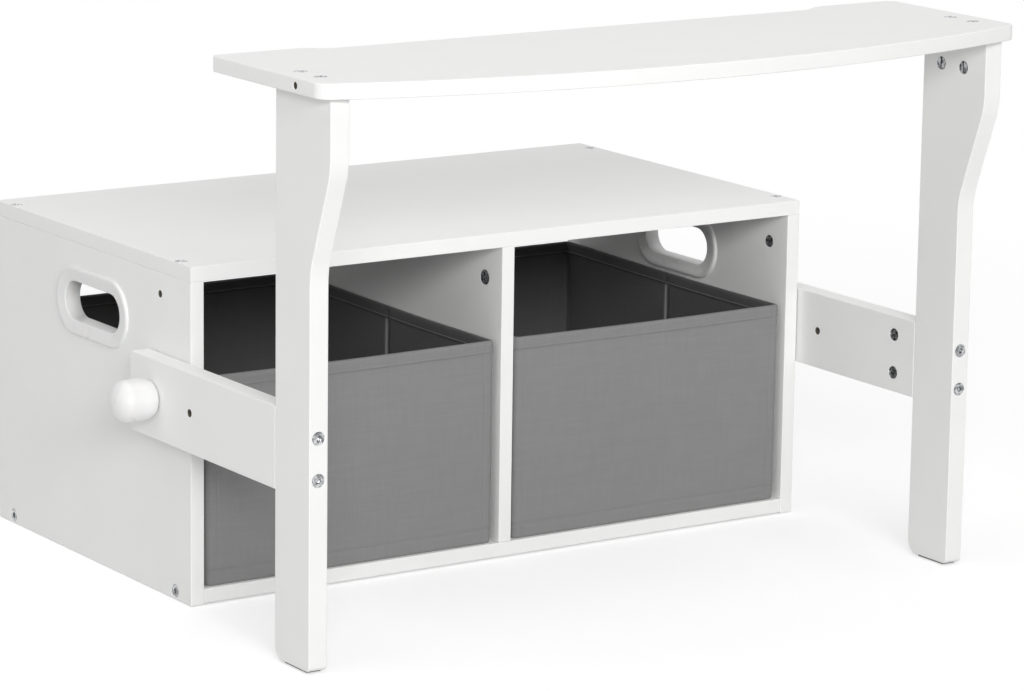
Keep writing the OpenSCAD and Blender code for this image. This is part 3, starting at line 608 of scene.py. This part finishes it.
# %% Sew the two bins
TUCK_HEIGHT, INNER_FLOOR = 1.6, 14.2
FOLD_OPENING, FOLD_TOP = 1.3, 170
outside_rows = [
    13.0, 13.4, 14.2, 15.4, 18, 21, 23.2, 24.1, 25.0, 25.9, 26.8, 29, 34, 42, 52, 64,
    78, 92, 106, 120, 132, 144, 153, 160, 165, 168.5, 171, 173, 176, 179, 181.4, 182.4,
]
inside_rows = [z for z in reversed(outside_rows) if z > 17.5] + [INNER_FLOOR]


def bin_walls(side, seed):
    """Rings of the cloth from the floor outside, over the rim, to the floor inside."""
    rings = []
    for z in outside_rows:
        tuck = TUCK_HEIGHT * max(0.0, (BIN_LOW + TUCK_HEIGHT - z) / TUCK_HEIGHT) ** 2
        rings.append([on_bin(side, p, cloth_lie(p, z, seed, True) - tuck, z - sag(p, z)) for p in path])
    for z in inside_rows:
        ring = []
        for p in path:
            open_fold = FOLD_OPENING * fold(p) if z < FOLD_TOP else 0.0
            ring.append(on_bin(side, p, -WALL + cloth_lie(p, z, seed, False) + open_fold, z - sag(p, z)))
        rings.append(ring)
    return rings


for side, word, seed in BINS:
    cloth = loft(f"{word}_bin_cloth", bin_walls(side, seed), False, wall_cloth, f"{word}_bin", cap_ends=True)
    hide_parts(f"{word}_bin_shell")
    cloth.data.materials.append(painted_shade_cloth)
    # The faces go up outside and down inside, and the last two close the floor
    first_inner = (len(outside_rows) - 1) * len(path)
    # Inside the bin every face but those at a fold gets the painted shade
    for face in cloth.data.polygons[first_inner:-2]:
        face.material_index = 0 if fold(path[face.index % len(path)]) > 0.2 else 1
    print(cloth.name, "has", len(cloth.data.polygons), "faces")

# %% [markdown]
# ## The rim's tape
# A folded tape is sewn over each rim, ten millimetres deep on both sides. Sewing round a stiff
# board makes it ripple, and it is thickest at the fold. It is a loft of its own, with a closed
# section, so that it can lie over the wall. The section is given as a distance outwards and a
# height. Its part inside the bin, up to the middle of the rim's top, gets the same painted shade.

# %% Fold the tape over the rims
tape_section = [
    (0.05, 172.9), (0.50, 173.0), (0.62, 174.0), (0.45, 174.9), (0.60, 176.2), (0.62, 179.0), (0.58, 181.4),
    (0.20, 182.5), (-0.80, 182.95), (-1.7, 183.0), (-2.6, 182.95), (-3.6, 182.5), (-3.98, 181.4),
    (-4.02, 179.0), (-4.0, 176.2), (-3.85, 174.9), (-4.02, 174.0), (-3.90, 173.0), (-3.45, 172.9),
    (-3.2, 176.0), (-0.2, 176.0),
]
WALL_MIDDLE, RIM_REACH = -WALL / 2, 1.2
RIPPLE, RIPPLE_SIZE = 0.10, 9
SHADED_TAPE_ROWS = 11


def tape_rings(side, seed):
    """Rings of the tape. Over the rim it follows the cloth by half, and beside it wholly."""
    rings = []
    for off, z in tape_section:
        follows = 1 if abs(off - WALL_MIDDLE) > RIM_REACH else 0.5
        ring = []
        for p in path:
            wave = noise.noise(Vector((p.x / RIPPLE_SIZE, p.y / RIPPLE_SIZE + seed, z / RIPPLE_SIZE)))
            out = off + cloth_lie(p, TAPE_LEVEL, seed, off > WALL_MIDDLE) * follows + RIPPLE * wave
            ring.append(on_bin(side, p, out, z - sag(p, SAG_FROM + SAG_HEIGHT) + RIPPLE / 2 * wave))
        rings.append(ring)
    return rings[::-1]


for side, word, seed in BINS:
    tape = loft(f"{word}_bin_rim_tape", tape_rings(side, seed), True, binding_cloth, f"{word}_bin")
    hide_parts(f"{word}_bin_binding")
    tape.data.materials.append(painted_shade_cloth)
    # The first rows run inside the bin and over half the rim's top, and get painted shade
    for face in tape.data.polygons[: SHADED_TAPE_ROWS * len(path)]:
        face.material_index = 1
    print(tape.name, "has", len(tape.data.polygons), "faces")

# %% [markdown]
# ## Stitches
# A lockstitch shows as short threads in a row, each about 3 mm long with a small gap, pressed into
# the cloth at both ends. One slim diamond-shaped thread is repeated along the tape outside and
# inside, and along the bottom seam. It has a tip, two squares that stand on a corner, and a tip.

# %% Shape of one stitch
PITCH, HALF_LENGTH, HALF_MIDDLE, HALF_THICK = 3.6, 1.35, 0.7, 0.26
TIP = ((-0.12, 0.0),)
SQUARE = ((HALF_THICK, 0.0), (0.0, HALF_THICK), (-HALF_THICK, 0.0), (0.0, -HALF_THICK))
STITCH_FACES = []
for i in range(4):
    j = (i + 1) % 4
    STITCH_FACES += [(0, 1 + i, 1 + j), (1 + i, 5 + i, 5 + j, 1 + j), (9, 5 + j, 5 + i)]


def stitch_corners(x, y, z, nx, ny):
    """The ten corners of a stitch that lies across the direction (nx, ny) in which its face looks."""
    corners = []
    for along in (-HALF_LENGTH, -HALF_MIDDLE, HALF_MIDDLE, HALF_LENGTH):
        offsets = TIP if abs(along) == HALF_LENGTH else SQUARE
        corners += [(x - ny * along + nx * out, y + nx * along + ny * out, z + up) for out, up in offsets]
    return corners


print("faces of one stitch:", len(STITCH_FACES))

# %% [markdown]
# The rows are walked round the same path as the walls. Each stitch lies on the cloth where it
# falls, between two points of the path, and the corners have none.

# %% Sew the rows of stitches
TAPE_STITCHES = 174.7
stitched_rows = (
    (TAPE_STITCHES, 0.62, True, TAPE_LEVEL),
    (TAPE_STITCHES, -4.05, False, TAPE_LEVEL),
    (BOTTOM_SEAM, 0.12, True, BOTTOM_SEAM),
)


def stitch_rows(side, seed):
    """Corners and faces of every stitch of a bin."""
    points, faces = [], []
    loop = path + [path[0]]
    for z, off, outside, level in stitched_rows:
        facing = 1 if outside else -1
        walked, next_stitch = 0.0, 0.0
        for a, b in zip(loop, loop[1:]):
            length = math.hypot(b.x - a.x, b.y - a.y)
            while next_stitch < walked + length:
                t = (next_stitch - walked) / length
                next_stitch += PITCH
                if "corner" in (a.wall, b.wall):
                    continue
                lies = [cloth_lie(point, level, seed, outside) for point in (a, b)]
                out = off + lies[0] * (1 - t) + lies[1] * t
                low = sag(a, z) * (1 - t) + sag(b, z) * t
                x = side * BIN_X + a.x * (1 - t) + b.x * t + a.out_x * out
                y = BIN_Y + a.y * (1 - t) + b.y * t + a.out_y * out
                faces += [tuple(len(points) + corner for corner in face) for face in STITCH_FACES]
                points += stitch_corners(x, y, z - low, a.out_x * facing, a.out_y * facing)
            walked += length
    return points, faces


for side, word, seed in BINS:
    points, faces = stitch_rows(side, seed)
    stitches = new_piece(f"{word}_bin_stitches", points, faces, sewing_thread, f"{word}_bin")
    print(stitches.name, "has", len(faces) // len(STITCH_FACES), "stitches")

# %% [markdown]
# ## Floor and light
# The photograph has a white background and very soft light: the front edges are brightest, the
# tops a little darker and the left side darker again. The bins' rear walls are almost black under
# the seat and grow lighter downwards, so the main light comes from low in front and passes under
# the seat. That is a wide softbox, a little to the left. Large dim ones stand at both sides and
# hang above, and the sky fills the rest. They are large so that their reflections in the lacquer
# stay faint. The floor is pale grey paper. To the camera it glows just enough to read as white,
# and because that glow is added to the real shading, the object's shadow stays on it. From 0.5 m
# out the paper fades to plain white, as an overexposed backdrop does.

# %% Floor
FLOOR_HALF, FLOOR_LEVEL = 9, -0.0004
GLOW, FADE_FROM, FADE_TO = 0.44, 0.5, 1.8


def seen_directly(tree):
    """1 for what the camera sees, also in reflections and through glass, and 0 for light on things."""
    rays = add(tree, "ShaderNodeLightPath").outputs
    either = {0: rays["Is Camera Ray"], 1: rays["Is Glossy Ray"]}
    seen = add(tree, "ShaderNodeMath", {"operation": "MAXIMUM"}, either).outputs[0]
    any_of_three = {0: seen, 1: rays["Is Transmission Ray"]}
    return add(tree, "ShaderNodeMath", {"operation": "MAXIMUM"}, any_of_three).outputs[0]


corners = [(x * FLOOR_HALF, y * FLOOR_HALF, FLOOR_LEVEL) for x, y in ((-1, -1), (1, -1), (1, 1), (-1, 1))]
floor_mesh = bpy.data.meshes.new("floor")
floor_mesh.from_pydata(corners, [], [(0, 1, 2, 3)])
floor = bpy.data.objects.new("floor", floor_mesh)
bpy.context.scene.collection.objects.link(floor)
paper, tree, shader, place = new_finish("white background paper")
set_inputs(tree, shader, {"Base Color": linear("#d8d8d8"), "Roughness": 0.9, "Specular IOR Level": 0.1})
seen = seen_directly(tree)
glow = add(tree, "ShaderNodeMath", {"operation": "MULTIPLY"}, {0: seen, 1: GLOW})
white = add(tree, "ShaderNodeEmission", None, {"Color": linear("#ffffff"), "Strength": glow.outputs[0]})
both = add(tree, "ShaderNodeAddShader", None, {0: shader.outputs[0], 1: white.outputs[0]})
away = add(tree, "ShaderNodeVectorMath", {"operation": "LENGTH"}, {0: place}).outputs["Value"]
reach = {"Value": away, "From Min": FADE_FROM, "From Max": FADE_TO}
fade = add(tree, "ShaderNodeMapRange", {"interpolation_type": "SMOOTHSTEP"}, reach)
far = add(tree, "ShaderNodeMath", {"operation": "MULTIPLY"}, {0: fade.outputs[0], 1: seen})
blank = add(tree, "ShaderNodeEmission", None, {"Color": linear("#ffffff"), "Strength": 1.0})
near_and_far = {0: far.outputs[0], 1: both.outputs[0], 2: blank.outputs[0]}
seen_floor = add(tree, "ShaderNodeMixShader", None, near_and_far)
set_inputs(tree, tree.nodes["Material Output"], {"Surface": seen_floor.outputs[0]})
floor_mesh.materials.append(paper)
print("floor size:", [round(v, 1) for v in floor.dimensions])

# %% Sky and softboxes
SKY_FILL = 0.27
world = bpy.data.worlds.new("studio")
bpy.context.scene.world = world
world.use_nodes = True
tree = world.node_tree
for node in list(tree.nodes):
    tree.nodes.remove(node)
fill = add(tree, "ShaderNodeBackground", None, {"Color": linear("#ffffff"), "Strength": SKY_FILL})
white = add(tree, "ShaderNodeBackground", None, {"Color": linear("#ffffff"), "Strength": 1.0})
fill_and_white = {0: seen_directly(tree), 1: fill.outputs[0], 2: white.outputs[0]}
both = add(tree, "ShaderNodeMixShader", None, fill_and_white)
add(tree, "ShaderNodeOutputWorld", None, {"Surface": both.outputs[0]})


def softbox(name, place, width, height, watts):
    """A rectangular lamp that is aimed at the middle of the box."""
    lamp = bpy.data.lights.new(name, "AREA")
    lamp.shape = "RECTANGLE"
    lamp.size, lamp.size_y = width, height
    lamp.energy = watts
    box = bpy.data.objects.new(name, lamp)
    box.location = place
    box.rotation_euler = (Vector((0, 0, 0.2)) - Vector(place)).to_track_quat("-Z", "Y").to_euler()
    bpy.context.scene.collection.objects.link(box)


softbox("front softbox", (-1.95, -4.8, 2.15), 3.0, 1.2, 187)
softbox("left softbox", (-5.0, -0.5, 2.4), 5.0, 3.0, 40)
softbox("right softbox", (5.0, -0.5, 2.4), 5.0, 3.0, 26)
softbox("overhead softbox", (0.0, 0.4, 4.2), 5.0, 5.0, 69)
